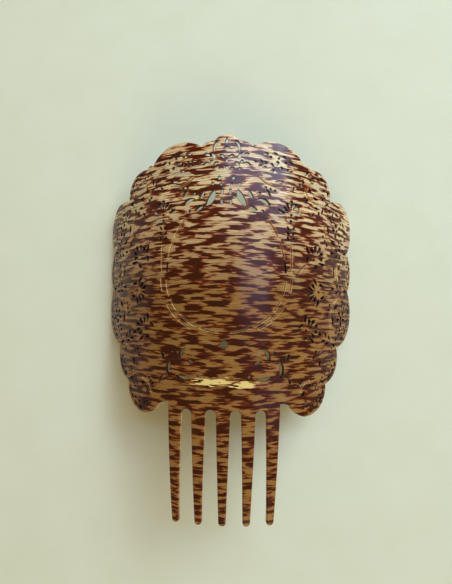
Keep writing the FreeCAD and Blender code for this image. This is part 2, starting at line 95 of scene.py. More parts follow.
def add_node(tree: Tree, kind: str, inputs: dict | None = None, **settings: object) -> bpy.types.Node:
    """Adds a shader node with its settings and links.

    Args:
        tree: The material's node tree.
        kind: The node's type, without its common first part.
        inputs: What goes into each input, by name or number: a value, or an output to link.
        settings: Attributes of the node. stops is a list of (position, colour) for a ramp.

    Returns:
        The node.
    """
    node = tree.nodes.new("ShaderNode" + kind)
    stops = settings.pop("stops", None)
    for name, value in settings.items():
        setattr(node, name, value)
    if stops:
        elements = node.color_ramp.elements
        while len(elements) < len(stops):
            elements.new(0.5)
        for element, (position, colour) in zip(elements, stops):
            element.position = position
            element.color = colour
    for name, value in (inputs or {}).items():
        if isinstance(value, bpy.types.NodeSocket):
            tree.links.new(value, node.inputs[name])
        else:
            node.inputs[name].default_value = value
    return node


@dataclass(frozen=True)
class ClearPaintedLitSliver:
    """A large sliver that is almost clear, painted pale as though bright light showed through it, on the
    flat sheet. Lengths are in millimetres.
    """

    centre: tuple[float, float]
    half_size: tuple[float, float]


@dataclass(frozen=True)
class AcetateSheet:
    """Cellulose acetate sheet in imitation of tortoiseshell.

    Slivers of clear amber and of dark red-brown sheet are pressed together, so the eye sees short
    crosswise dashes with feathered ends, in thin rows. Lengths are in millimetres.
    """

    name: str = "cellulose acetate sheet, polished"
    # One amber, with painted light near the crest and painted shade near the teeth.
    amber_painted_lit: str = "#fcecb8"
    amber_painted_shade: str = "#9c7c44"
    honey: str = "#8a5220"
    red_brown: str = "#64240e"
    maroon: str = "#3a1006"
    # The large clear slivers' pale colour: their clearness, with painted light as of bright light behind
    # them.
    pale: str = "#ecd88c"
    ior: float = 1.48
    # The slivers.
    row_height: float = 2.1
    row_unevenness: float = 1.2  # in row heights
    row_shift: float = 400.0  # the most that a row's dashes are shifted
    row_share: float = 0.46  # of a dash's colour that its own row decides, and not its clump
    row_sag: tuple[float, float] = (1.2e-5, -1.0e-4)  # its growth up the sheet, and its value at mid-height
    dash_length: float = 14.0
    feather: float = 5.2  # how unevenly the slivers of one dash end
    sliver_length: float = 26.0
    sliver_height: float = 0.35
    sliver_contrast: float = 0.07
    # Their colours, by how clear the sheet is there: about 0.5, more in clear slivers and less in dark ones.
    dark_stops: tuple[float, float, float] = (0.45, 0.502, 0.53)  # of maroon, red-brown and honey
    clear_between: tuple[float, float] = (0.508, 0.545)
    clearing: tuple[float, float] = (40.0, 110.0)  # up the sheet, over which more of it gets clear
    clearing_gain: float = 0.02
    painted_light_rise: tuple[float, float] = (22.0, 85.0)  # up the sheet, over which the colours go from painted shade to painted light
    dark_painted_lightening: float = 0.7  # how much the painted light lightens the dark slivers, over that rise
    streak_fineness: float = 1.7  # against the slivers
    streak_between: tuple[float, float] = (0.38, 0.66)
    streak_strength: float = 0.75
    # The large, almost clear slivers, painted pale as though bright light showed through them.
    clear_painted_lit_slivers: tuple[ClearPaintedLitSliver, ...] = (
        ClearPaintedLitSliver((-6.8, -32.5), (11.5, 2.2)),
        ClearPaintedLitSliver((12.2, -33.9), (7.0, 2.3)),
    )
    finger_size: tuple[float, float] = (6.0, 1.2)
    raggedness: float = 2.4  # as a share of a sliver's half size
    fading: tuple[float, float] = (1.0, 0.8)  # in half sizes from its centre, over which a sliver fades in
    # The light inside the sheet and on it.
    cloudiness: float = 0.4  # the share of light that scatters inside
    clearness: float = 6.0  # how far red light carries
    carry: tuple[float, float, float] = (1.0, 0.42, 0.12)  # red, green and blue, against red
    roughness: float = 0.17
    marks: float = 0.12  # handling marks in a millimetre
    mark_between: tuple[float, float] = (0.35, 0.7)
    mark_dulling: tuple[float, float] = (0.75, 1.5)  # of the roughness, off the marks and on them
    gloss_wave: float = 11.0  # spacing of the slight waves that hand polishing leaves
    wave_depth: float = 0.3
    wave_strength: float = 0.5

    def material(self) -> bpy.types.Material:
        """Makes the material.

        Returns:
            The material, whose pattern follows the flat sheet through the UV map "sheet".
        """
        made = bpy.data.materials.new(self.name)
        made.use_nodes = True
        tree = made.node_tree
        tree.nodes.clear()
        flat = add_node(tree, "UVMap", uv_map="sheet").outputs[0]
        place = add_node(tree, "VectorMath", {0: flat, "Scale": 1 / MM}, operation="SCALE").outputs[0]
        shader = add_node(
            tree,
            "BsdfPrincipled",
            {
                "Base Color": self._pattern(tree, place),
                "Roughness": self._scratches(tree, place),
                "IOR": self.ior,
                "Subsurface Weight": self.cloudiness,
                "Subsurface Radius": self.carry,
                "Subsurface Scale": self.clearness * MM,
                "Normal": self._waves(tree, place),
            },
        )
        add_node(tree, "OutputMaterial", {"Surface": shader.outputs[0]})
        return made

    def _pattern(self, tree: Tree, place: Socket) -> Socket:
        """Draws the slivers.

        Args:
            tree: The material's node tree.
            place: The place on the flat sheet, in millimetres.

        Returns:
            The colour there.
        """
        axes = add_node(tree, "SeparateXYZ", {0: place}).outputs
        across, along = axes[0], axes[1]
        # The rows hang down a little at the sides near the crest and rise there near the teeth.
        square = add_node(tree, "Math", {0: across, 1: across}, operation="MULTIPLY").outputs[0]
        growth, middle = self.row_sag
        sag = add_node(tree, "Math", {0: along, 1: growth, 2: middle}, operation="MULTIPLY_ADD").outputs[0]
        level = add_node(tree, "Math", {0: square, 1: sag, 2: along}, operation="MULTIPLY_ADD").outputs[0]
        lie = add_node(tree, "CombineXYZ", {0: across, 1: level}).outputs[0]
        fray = self._noise(tree, lie, (self.sliver_length, self.sliver_height))
        # More of the sheet is clear near the crest.
        low, high = self.clearing
        gain = {0: along, 1: low, 2: high, 3: 0.0, 4: self.clearing_gain}
        more_clear = add_node(tree, "MapRange", gain).outputs[0]
        laid = self._slivers(tree, lie, fray)
        mixed = add_node(tree, "Math", {0: laid, 1: more_clear}, operation="ADD").outputs[0]
        # Clear amber gets painted light towards the crest and painted shade towards the teeth, and has fine
        # honey-coloured streaks.
        low, high = self.painted_light_rise
        height = add_node(tree, "MapRange", {0: along, 1: low, 2: high}).outputs[0]
        ambers = {0: height, 6: linear(self.amber_painted_shade), 7: linear(self.amber_painted_lit)}
        amber = add_node(tree, "Mix", ambers, data_type="RGBA").outputs[2]
        streak_size = (self.sliver_length / self.streak_fineness, self.sliver_height / self.streak_fineness)
        grain = self._noise(tree, lie, streak_size, detail=2.0)
        low, high = self.streak_between
        strength = {0: grain, 1: low, 2: high, 3: 0.0, 4: self.streak_strength}
        streaked = add_node(tree, "MapRange", strength).outputs[0]
        streaks = {0: streaked, 6: amber, 7: linear(self.honey)}
        clear = add_node(tree, "Mix", streaks, data_type="RGBA").outputs[2]
        # Dark slivers are browner where they are thin, and get painted light towards the crest.
        shades = [linear(colour) for colour in (self.maroon, self.red_brown, self.honey)]
        deep = add_node(tree, "ValToRGB", {0: mixed}, stops=list(zip(self.dark_stops, shades))).outputs[0]
        gains = {0: height, 1: self.dark_painted_lightening, 2: 1.0}
        painted_light_gain = add_node(tree, "Math", gains, operation="MULTIPLY_ADD").outputs[0]
        lit = add_node(tree, "VectorMath", {0: deep, "Scale": painted_light_gain}, operation="SCALE").outputs[0]
        low, high = self.clear_between
        share = add_node(tree, "MapRange", {0: mixed, 1: low, 2: high}).outputs[0]
        colour = add_node(tree, "Mix", {0: share, 6: lit, 7: clear}, data_type="RGBA").outputs[2]
        # A few large slivers are almost clear, painted pale as though bright light showed through them, and
        # end in ragged fingers.
        fingers = self._noise(tree, lie, self.finger_size, detail=1.0)
        ragging = {0: fingers, 1: self.raggedness, 2: -self.raggedness / 2}
        ragged = add_node(tree, "Math", ragging, operation="MULTIPLY_ADD").outputs[0]
        for sliver in self.clear_painted_lit_slivers:
            cover = self._cover(tree, lie, ragged, sliver)
            pales = {0: cover, 6: colour, 7: linear(self.pale)}
            colour = add_node(tree, "Mix", pales, data_type="RGBA").outputs[2]
        return colour

    def _slivers(self, tree: Tree, lie: Socket, fray: Socket) -> Socket:
        """Lays the slivers in rows and clumps.

        Args:
            tree: The material's node tree.
            lie: The place on the sheet, with the rows level.
            fray: Noise that differs from sliver to sliver, round a half.

        Returns:
            How clear the sheet is there.
        """
        axes = add_node(tree, "SeparateXYZ", {0: lie}).outputs
        across, level = axes[0], axes[1]
        # Slivers lie crosswise, in clumps a few rows high.
        clump_size = (self.dash_length, self.row_height)
        clump = self._noise(tree, lie, clump_size, detail=2.0, roughness=0.55, distortion=0.25)
        # Rows of uneven height, each with its own run of dashes.
        unevenness = {0: clump, 1: self.row_unevenness, 2: -self.row_unevenness / 2}
        uneven = add_node(tree, "Math", unevenness, operation="MULTIPLY_ADD").outputs[0]
        rows = {0: level, 1: 1 / self.row_height, 2: uneven}
        row_place = add_node(tree, "Math", rows, operation="MULTIPLY_ADD").outputs[0]
        row = add_node(tree, "Math", {0: row_place}, operation="FLOOR").outputs[0]
        row_shift = add_node(tree, "TexWhiteNoise", {"W": row}, noise_dimensions="1D").outputs[0]
        # The slivers within a row end at different places, which feathers the ends of a dash.
        frays = {0: fray, 1: self.feather, 2: across}
        frayed = add_node(tree, "Math", frays, operation="MULTIPLY_ADD").outputs[0]
        shifts = {0: row_shift, 1: self.row_shift, 2: frayed}
        shifted = add_node(tree, "Math", shifts, operation="MULTIPLY_ADD").outputs[0]
        run = add_node(tree, "Math", {0: shifted, 1: 1 / self.dash_length}, operation="MULTIPLY").outputs[0]
        dashes = {"W": run, "Scale": 1.0, "Detail": 1.0}
        dash = add_node(tree, "TexNoise", dashes, noise_dimensions="1D").outputs[0]
        blended = add_node(tree, "Mix", {0: self.row_share, 2: clump, 3: dash}, data_type="FLOAT").outputs[0]
        contrast = {0: fray, 1: self.sliver_contrast, 2: -self.sliver_contrast / 2}
        single = add_node(tree, "Math", contrast, operation="MULTIPLY_ADD").outputs[0]
        return add_node(tree, "Math", {0: blended, 1: single}, operation="ADD").outputs[0]

    @staticmethod
    def _noise(
        tree: Tree, lie: Socket, size: tuple[float, float], detail: float = 0.0, **more: float
    ) -> Socket:
        """Adds flat noise.

        Args:
            tree: The material's node tree.
            lie: The place on the sheet.
            size: The noise's length and height, in millimetres.
            detail: How many finer layers it has.
            more: Its roughness and distortion.

        Returns:
            The noise, round a half.
        """
        scaling = {0: lie, 1: (1 / size[0], 1 / size[1], 1)}
        scaled = add_node(tree, "VectorMath", scaling, operation="MULTIPLY").outputs[0]
        inputs = {"Vector": scaled, "Scale": 1.0, "Detail": detail}
        inputs.update({name.capitalize(): value for name, value in more.items()})
        return add_node(tree, "TexNoise", inputs, noise_dimensions="2D").outputs[0]

    def _cover(self, tree: Tree, lie: Socket, ragged: Socket, sliver: ClearPaintedLitSliver) -> Socket:
        """Where a clear sliver lies.

        Args:
            tree: The material's node tree.
            lie: The place on the sheet.
            ragged: How far the sliver's edge is moved there, as a share of its half size.
            sliver: The sliver.

        Returns:
            One on the sliver, nought off it.
        """
        moving = {0: lie, 1: (*sliver.centre, 0)}
        offset = add_node(tree, "VectorMath", moving, operation="SUBTRACT").outputs[0]
        scaling = {0: offset, 1: (1 / sliver.half_size[0], 1 / sliver.half_size[1], 0)}
        scaled = add_node(tree, "VectorMath", scaling, operation="MULTIPLY").outputs[0]
        away = add_node(tree, "VectorMath", {0: scaled}, operation="LENGTH").outputs["Value"]
        edge = add_node(tree, "Math", {0: away, 1: ragged}, operation="ADD").outputs[0]
        outer, inner = self.fading
        return add_node(tree, "MapRange", {0: edge, 1: outer, 2: inner}).outputs[0]

    def _scratches(self, tree: Tree, place: Socket) -> Socket:
        """Handling marks, which dull the polish unevenly. Returns the roughness."""
        inputs = {"Vector": place, "Scale": self.marks, "Detail": 6.0, "Roughness": 0.7}
        marks = add_node(tree, "TexNoise", inputs).outputs[0]
        low, high = self.mark_between
        least, most = (self.roughness * share for share in self.mark_dulling)
        return add_node(tree, "MapRange", {0: marks, 1: low, 2: high, 3: least, 4: most}).outputs[0]

    def _waves(self, tree: Tree, place: Socket) -> Socket:
        """The low waves of a hand-polished sheet. Returns the normal."""
        inputs = {"Vector": place, "Scale": 1 / self.gloss_wave, "Detail": 1.5}
        waves = add_node(tree, "TexNoise", inputs).outputs[0]
        shape = {"Height": waves, "Strength": self.wave_strength, "Distance": self.wave_depth * MM}
        return add_node(tree, "Bump", shape).outputs[0]


@dataclass(frozen=True)
class SawnAcetateWithPaintedHighlight(AcetateSheet):
    """The same sheet where the saw cut it. The cut is only scraped, so the eye sees it duller and paler; its
    pale colours also hold painted highlight for the edges of slits.
    """

    name: str = "cellulose acetate sheet, sawn and scraped"
    roughness: float = 0.42
    maroon: str = "#8a6034"
    red_brown: str = "#a87c48"
    honey: str = "#c49a5c"
    amber_painted_shade: str = "#dcbc80"
    amber_painted_lit: str = "#f0e0b0"


@dataclass(frozen=True)
class PiercingAcetateWithPaintedShade(AcetateSheet):
    """The same sheet in the piercings, darkened as painted shade on the piercings' walls, which draws a dark
    line.
    """

    name: str = "cellulose acetate sheet, with polish left in the piercings"
    roughness: float = 0.3
    maroon: str = "#200a05"
    red_brown: str = "#2c1008"
    honey: str = "#40240f"
    amber_painted_shade: str = "#583a1c"
    amber_painted_lit: str = "#7c5e38"


@dataclass(frozen=True)
class PaintedBoard:
    """A smooth board with matt emulsion paint: pale, even, with a faint mottle of the roller."""

    name: str = "matt emulsion paint on board, rolled"
    light: str = "#e4eed8"
    dark: str = "#dbe5ca"
    mottle: float = 30.0  # millimetres between the roller's marks
    roughness: float = 0.85
    ior: float = 1.5

    def material(self) -> bpy.types.Material:
        """Makes the material.

        Returns:
            The material.
        """
        made = bpy.data.materials.new(self.name)
        made.use_nodes = True
        tree = made.node_tree
        tree.nodes.clear()
        place = add_node(tree, "TexCoord").outputs["Object"]
        marks = {"Vector": place, "Scale": 1 / (self.mottle * MM), "Detail": 4.0}
        mottle = add_node(tree, "TexNoise", marks).outputs[0]
        tones = {0: mottle, 6: linear(self.dark), 7: linear(self.light)}
        colour = add_node(tree, "Mix", tones, data_type="RGBA").outputs[2]
        paint = {"Base Color": colour, "Roughness": self.roughness, "IOR": self.ior}
        shader = add_node(tree, "BsdfPrincipled", paint)
        add_node(tree, "OutputMaterial", {"Surface": shader.outputs[0]})
        return made


# The bent sheet.


def unit(rows: np.ndarray) -> np.ndarray:
    """Each row as a vector one long. A row of noughts stays as it is."""
    return rows / np.maximum(np.linalg.norm(rows, axis=1, keepdims=True), TINY)


@dataclass(frozen=True)
class Bend:
    """How the flat sheet lies in space.

    Across, the whole comb is bent on one cylinder. Below the teeth's roots the sheet also curves
    lengthwise, on a wide ring. A flat point is (across, along, depth under the convex face), in metres.
    """

    radius: float
    axis_height: float
    root_line: float
    thickness: float = 3.0 * MM
    ring_radius: float = 420.0 * MM

    @classmethod
    def of_comb(cls) -> "Bend":
        """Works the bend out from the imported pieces.

        Returns:
            The bend: the circle that best fits the section of the medallion's convex face.
        """
        mesh = bpy.data.objects["medallion"].data
        steepest = 0.8  # the least rise of a normal on the medallion's convex face
        tops = [face for face in mesh.polygons if face.normal.z > steepest]
        points = np.array([mesh.vertices[i].co for face in tops for i in face.vertices], float)
        x, z = points[:, 0], points[:, 2]
        terms = np.column_stack([z, np.ones(len(z))])
        (doubled, rest), *_ = np.linalg.lstsq(terms, x * x + z * z, rcond=None)
        centre = doubled / 2
        return cls(math.sqrt(rest + centre * centre), centre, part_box("tooth_bar")[0].y)

    def flatten(self, points: np.ndarray) -> np.ndarray:
        """Lays points of the comb flat.

        Args:
            points: Rows of x, y, z.

        Returns:
            Rows of across, along, depth.
        """
        x, y, z = points.T
        height = z - self.axis_height
        over = self.root_line - y
        spoke = np.hypot(over, height + self.ring_radius)
        below = over > TOUCH
        height = np.where(below, spoke - self.ring_radius, height)
        turn = np.arctan2(over, z - self.axis_height + self.ring_radius)
        along = np.where(below, self.root_line - turn * (self.ring_radius + self.radius), y)
        return np.stack(
            [self.radius * np.arctan2(x, height), along, self.radius - np.hypot(x, height)], axis=1
        )

    def angles(self, flat: np.ndarray) -> tuple[np.ndarray, np.ndarray]:
        """How far the sheet has turned at flat points.

        Args:
            flat: Rows of across, along, depth.

        Returns:
            The angles across and lengthwise, in radians.
        """
        across = flat[:, 0] / self.radius
        lengthwise = np.maximum(0.0, self.root_line - flat[:, 1]) / (self.ring_radius + self.radius)
        return across, lengthwise

    def place(self, flat: np.ndarray) -> np.ndarray:
        """Bends flat points back.

        Args:
            flat: Rows of across, along, depth.

        Returns:
            Rows of x, y, z.
        """
        across, lengthwise = self.angles(flat)
        radius = self.radius - flat[:, 2]
        spoke = self.ring_radius + radius * np.cos(across)
        return np.stack(
            [
                radius * np.sin(across),
                np.maximum(flat[:, 1], self.root_line) - spoke * np.sin(lengthwise),
                self.axis_height - self.ring_radius + spoke * np.cos(lengthwise),
            ],
            axis=1,
        )

    def direct(self, flat: np.ndarray, directions: np.ndarray) -> np.ndarray:
        """Turns directions given on the flat sheet into directions in space.

        Args:
            flat: Where each direction starts.
            directions: Rows of across, along, outward.

        Returns:
            Rows of x, y, z.
        """
        across, lengthwise = self.angles(flat)
        sin_a, cos_a, sin_l, cos_l = np.sin(across), np.cos(across), np.sin(lengthwise), np.cos(lengthwise)
        nil = np.zeros_like(across)
        side = np.stack([cos_a, sin_a * sin_l, -sin_a * cos_l], axis=1)
        up = np.stack([nil, cos_l, sin_l], axis=1)
        out = np.stack([sin_a, -cos_a * sin_l, cos_a * cos_l], axis=1)
        return directions[:, :1] * side + directions[:, 1:2] * up + directions[:, 2:] * out


@dataclass(frozen=True)
class Seams:
    """The straight lines along which the heading is divided. They are flush, and get no rounding."""

    side: float  # between the middle and the borders, across the sheet
    middle_rows: tuple[float, ...]
    border_rows: tuple[float, ...]

    @classmethod
    def of_comb(cls, bend: Bend) -> "Seams":
        """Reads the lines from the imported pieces.

        Args:
            bend: How the sheet is bent.

        Returns:
            The lines, on the flat sheet.
        """
        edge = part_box("medallion")[1].x
        rows = [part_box(name)[1].y for name in ("tooth_bar", "scroll_band", "medallion", "lattice_band")]
        borders = [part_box(name)[1].y for name in ("right_lower_border", "right_middle_border")]
        return cls(bend.radius * math.asin(edge / bend.radius), (bend.root_line, *rows), tuple(borders))

    def holds(self, start: np.ndarray, end: np.ndarray) -> np.ndarray:
        """Which edges lie on a seam.

        Args:
            start: Flat start points, one a row.
            end: Flat end points.

        Returns:
            True for each edge on a seam.
        """
        across = np.stack([abs(start[:, 0]), abs(end[:, 0])], axis=1)
        along = np.stack([start[:, 1], end[:, 1]], axis=1)
        found = self._on(across, self.side)
        inside = across.max(axis=1) < self.side + TOUCH
        outside = across.min(axis=1) > self.side - TOUCH
        for line in self.middle_rows:
            found |= self._on(along, line) & inside
        for line in self.border_rows:
            found |= self._on(along, line) & outside
        return found

    @staticmethod
    def _on(ends: np.ndarray, line: float) -> np.ndarray:
        """Which edges have both their ends on a line."""
        return (abs(ends - line) < TOUCH).all(axis=1)


@dataclass(frozen=True)
class Rounding:
    """How far each kind of edge is rounded over, in metres."""

    outline: float = 0.55 * MM
    piercing: float = 0.3 * MM
    tooth: float = 0.9 * MM
    blend: float = 6.0 * MM  # above the roots, over which the teeth's rounding runs out
    web_share: float = 0.38  # of the material left between two cuts

    def widths(self, points: np.ndarray, is_hole: np.ndarray, bend: Bend) -> np.ndarray:
        """Chooses the rounding of an outline.

        Args:
            points: Flat edge points.
            is_hole: Which of them are round a piercing.
            bend: How the sheet is bent.

        Returns:
            The width wanted at each point.
        """
        toward_teeth = np.clip(1 - (points[:, 1] - bend.root_line) / self.blend, 0, 1)
        return np.where(is_hole, self.piercing, self.outline + (self.tooth - self.outline) * toward_teeth)


class SheetPiece:
    """One piece of the sheet, made from its CAD node's own outline."""

    STEPS = (0.0, 0.25, 0.5, 0.75, 1.0)  # along the quarter turn of a rounded edge
    LONGEST = 1.5 * MM  # edge kept, so that a bent piece has no flats
    GRID = 2.0 * MM  # spacing of the skin's inner points
    SLIT = 0.05  # a cut is a slit if twice its area is under this share of its edge's length squared
    MITRE = 0.5  # the least that the way into a corner is divided by, which limits its length
    AHEAD = 0.6  # the cosine of the angle within which another edge is in the way
    BATCH = 400  # points whose room is measured at a time
    SAME = 1e-5  # skin points this near, in millimetres, are the same point

    def __init__(self, node: str, bend: Bend, seams: Seams, rounding: Rounding) -> None:
        """Reads the node's outline and works out its edges.

        Args:
            node: The CAD node's name.
            bend: How the sheet is bent.
            seams: The lines that stay square.
            rounding: The widths of the rounded edges.
        """
        self.node = node
        self.bend = bend
        loops = [self._refined(loop) for loop in self._outline()]
        self.points = np.concatenate(loops)
        lengths = [len(loop) for loop in loops]
        firsts = np.cumsum([0] + lengths[:-1])
        turned = [first + np.roll(np.arange(length), -1) for first, length in zip(firsts, lengths)]
        self.after = np.concatenate(turned)  # the number of the next point of the same loop
        is_hole = np.repeat([self._twice_area(loop) < 0 for loop in loops], lengths)
        self.edge_surface = np.repeat([self._edge_finish(loop).value for loop in loops], lengths)
        self.inward, self.on_edge = self._inward(seams)
        self.width = self._fitted(rounding.widths(self.points, is_hole, bend), rounding.web_share)

    @staticmethod
    def _twice_area(loop: np.ndarray) -> float:
        """Twice the area inside a loop: positive round a piece, negative round a hole."""
        x, y = loop.T
        return float(np.sum(x * np.roll(y, -1) - np.roll(x, -1) * y))

    def _edge_finish(self, loop: np.ndarray) -> Surface:
        """Chooses the finish of the rounded edge along a loop.

        Args:
            loop: The loop's flat points.

        Returns:
            The finish. A narrow slit can't be polished and gets the pale sawn finish, with painted
            highlight; a wider piercing gets a dark rim of painted shade.
        """
        area = self._twice_area(loop)
        if area > 0:
            return Surface.POLISHED
        length = np.linalg.norm(np.roll(loop, -1, axis=0) - loop, axis=1).sum()
        return Surface.SAWN if -area < self.SLIT * length * length else Surface.RIM

    def _outline(self) -> list[np.ndarray]:
        """The closed edges of the node's convex face, laid flat, with the material on their left.

        Returns:
            Loops of flat points.
        """
        mesh = bpy.data.objects[self.node].data
        mesh.calc_loop_triangles()
        corners = np.empty(len(mesh.vertices) * 3)
        mesh.vertices.foreach_get("co", corners)
        triangles = np.empty(len(mesh.loop_triangles) * 3, int)
        mesh.loop_triangles.foreach_get("vertices", triangles)
        flat = self.bend.flatten(corners.reshape(-1, 3))
        _, first, same = np.unique(np.round(flat, 6), axis=0, return_index=True, return_inverse=True)
        flat = flat[first]
        triangles = same.reshape(-1)[triangles].reshape(-1, 3)
        skin = triangles[(abs(flat[triangles, 2]) < TOUCH).all(axis=1)]
        start = skin.reshape(-1)
        end = skin[:, (1, 2, 0)].reshape(-1)
        forward, backward = start * len(flat) + end, end * len(flat) + start
        free = ~np.isin(forward, backward) & (start != end)
        following = dict(zip(start[free].tolist(), end[free].tolist()))
        loops = []
        while following:
            here, there = following.popitem()
            loop = [here]
            while there != here:
                loop.append(there)
                there = following.pop(there)
            loops.append(flat[loop, :2])
        return loops

    def _refined(self, loop: np.ndarray) -> np.ndarray:
        """Divides a loop's long edges.

        Args:
            loop: The loop's flat points.

        Returns:
            The loop with points at most LONGEST apart.
        """
        points = []
        for start, end in zip(loop, np.roll(loop, -1, axis=0)):
            count = max(1, math.ceil(np.hypot(*(end - start)) / self.LONGEST))
            points += [start + (end - start) * i / count for i in range(count)]
        return np.array(points)

    def _inward(self, seams: Seams) -> tuple[np.ndarray, np.ndarray]:
        """The direction into the material at each edge point, long enough to keep both edges parallel.

        Args:
            seams: The lines that stay square. A point at the end of one slides along it.

        Returns:
            The directions, and which points are on an edge that gets rounded.
        """
        before = np.empty_like(self.after)
        before[self.after] = np.arange(len(self.after))
        step = unit(self.points[self.after] - self.points)
        square = seams.holds(self.points, self.points[self.after])
        left = np.stack([-step[:, 1], step[:, 0]], axis=1)
        both = left + left[before]
        inward = both / np.maximum(1 + np.sum(left * left[before], axis=1), self.MITRE)[:, None]
        for mask, slide, against in (
            (square[before] & ~square, -step[before], left),
            (square & ~square[before], step, left[before]),
        ):
            share = np.clip(np.sum(slide * against, axis=1), self.MITRE, 1)[:, None]
            inward = np.where(mask[:, None], slide / share, inward)
        inside_seam = square & square[before]
        inward[inside_seam] = 0
        return inward, ~inside_seam

    def _fitted(self, wanted: np.ndarray, share: float) -> np.ndarray:
        """The rounding at each point, narrowed where little material is left between two cuts.

        Args:
            wanted: The widths asked for.
            share: The part of the remaining material that one edge may take.

        Returns:
            The widths that fit.
        """
        fitted = wanted.copy()
        blockers = self.points[self.on_edge]
        towards = unit(self.inward)
        for part in np.array_split(np.arange(len(self.points)), len(self.points) // self.BATCH + 1):
            gap = blockers[None] - self.points[part][:, None]
            reach = np.linalg.norm(gap, axis=2)
            ahead = np.einsum("ijk,ik->ij", gap, towards[part]) > self.AHEAD * reach
            reach[~ahead | (reach < TOUCH)] = 1.0
            fitted[part] = np.minimum(wanted[part], share * reach.min(axis=1))
        for _ in range(2):  # a narrowed point narrows its neighbours too, so the edge tapers
            fitted = np.minimum(fitted, fitted[self.after])
            fitted[self.after] = np.minimum(fitted, fitted[self.after])
        return fitted

    def _skin(self) -> tuple[np.ndarray, np.ndarray, np.ndarray]:
        """Fills the rounded outline with triangles.

        Returns:
            The skin's flat points, its triangles, and the skin point of each edge point.
        """
        rim = self.points + self.inward * self.width[:, None]
        low, high = rim.min(axis=0), rim.max(axis=0)
        columns = np.arange(low[0] + self.GRID / 2, high[0], self.GRID)
        rows = np.arange(low[1] + self.GRID / 2, high[1], self.GRID)
        grid = np.stack(np.meshgrid(columns, rows), axis=2).reshape(-1, 2)
        seeds = [Vector(p) for p in np.concatenate([rim, grid]) / MM]
        edges = list(enumerate(self.after.tolist()))
        points, lines, faces, from_points, from_lines, _ = delaunay_2d_cdt(seeds, edges, [], 0, self.SAME)
        walls = set()
        for (a, b), sources in zip(lines, from_lines):
            if sources:
                start, end = edges[sources[0]]
                ahead = (points[b] - points[a]).dot(seeds[end] - seeds[start]) > 0
                walls.add((a, b) if ahead else (b, a))
        triangles = np.array([faces[k] for k in self._walled_in(faces, walls)])
        kept, numbered = np.unique(triangles, return_inverse=True)
        at = {source: k for k, sources in enumerate(from_points) for source in sources}
        place = {old: new for new, old in enumerate(kept.tolist())}
        matched = np.array([place[at[i]] for i in range(len(edges))])
        flat = np.array([points[k] for k in kept]) * MM
        flat[matched] = rim
        return flat, numbered.reshape(-1, 3), matched

    @staticmethod
    def _walled_in(faces: list[list[int]], walls: set[tuple[int, int]]) -> list[int]:
        """Finds the triangles on the left of the walls.

        Args:
            faces: The triangles' corner numbers, counter-clockwise.
            walls: The lines that bound the material, each with it on the left.

        Returns:
            The numbers of the triangles that are material.
        """
        owner = {(f[i], f[(i + 1) % 3]): k for k, f in enumerate(faces) for i in range(3)}
        queue = [owner[wall] for wall in walls if wall in owner]
        inside = set(queue)
        while queue:
            face = faces[queue.pop()]
            for i in range(3):
                a, b = face[i], face[(i + 1) % 3]
                other = owner.get((b, a))
                walled = (a, b) in walls or (b, a) in walls
                if other is not None and other not in inside and not walled:
                    inside.add(other)
                    queue.append(other)
        return sorted(inside)

    def build(self) -> bpy.types.Object:
        """Makes the piece: two skins, rounded edges and sawn walls.

        Returns:
            The object, in its place on the comb.
        """
        skin, triangles, rim = self._skin()
        count = len(self.points)
        thickness = self.bend.thickness
        turns = [math.pi / 2 * step for step in self.STEPS]
        profile = [(1 - math.sin(a), 1 - math.cos(a), a, 0.0) for a in turns[1:]]
        lower = [(back, drop, math.pi - a, thickness) for back, drop, a, _ in reversed(profile)]
        rings = [rim]
        flats = [np.column_stack([skin, np.zeros(len(skin))])]
        facing = [np.tile((0.0, 0.0, 1.0), (len(skin), 1))]
        outward = unit(-self.inward)
        for back, drop, turn, base in profile + lower:
            depth = base - drop * self.width if base else drop * self.width
            flats.append(np.column_stack([self.points + self.inward * (back * self.width)[:, None], depth]))
            facing.append(np.column_stack([outward * math.sin(turn), np.full(count, math.cos(turn))]))
            rings.append(len(skin) + (len(rings) - 1) * count + np.arange(count))
        flats.append(np.column_stack([skin, np.full(len(skin), thickness)]))
        facing.append(np.tile((0.0, 0.0, -1.0), (len(skin), 1)))
        under = len(skin) + (len(rings) - 1) * count
        rings.append(under + rim)
        flat = np.concatenate(flats)
        faces = triangles.tolist() + (under + triangles[:, ::-1]).tolist()
        surfaces = [Surface.POLISHED.value] * len(faces)
        edges = self.edge_surface.tolist()
        walls = [max(surface, Surface.SAWN.value) for surface in edges]
        for k, (upper, below) in enumerate(zip(rings, rings[1:])):
            quads = np.column_stack([upper, below, below[self.after], upper[self.after]])
            faces += quads.tolist()
            sawn = k == len(profile)
            surfaces += walls if sawn else edges
        return self._object(flat, faces, surfaces, np.concatenate(facing))

    def _object(
        self, flat: np.ndarray, faces: list[list[int]], surfaces: list[int], facing: np.ndarray
    ) -> bpy.types.Object:
        """Makes the Blender object.

        Args:
            flat: Flat points with their depth.
            faces: Corner numbers of each face.
            surfaces: The kind of surface of each face.
            facing: The normal of each point, on the flat sheet.

        Returns:
            The object.
        """
        mesh = bpy.data.meshes.new(self.node + "_sheet")
        mesh.from_pydata(self.bend.place(flat).tolist(), [], faces)
        mesh.shade_smooth()
        mesh.polygons.foreach_set("material_index", surfaces)
        corners = np.empty(len(mesh.loops), int)
        mesh.loops.foreach_get("vertex_index", corners)
        layer = mesh.uv_layers.new(name="sheet")
        layer.uv.foreach_set("vector", flat[corners, :2].astype(np.float32).reshape(-1))
        normals = unit(self.bend.direct(flat, facing))
        mesh.normals_split_custom_set_from_vertices(normals.tolist())
        made = bpy.data.objects.new(self.node + "_sheet", mesh)
        bpy.context.scene.collection.objects.link(made)
        return made


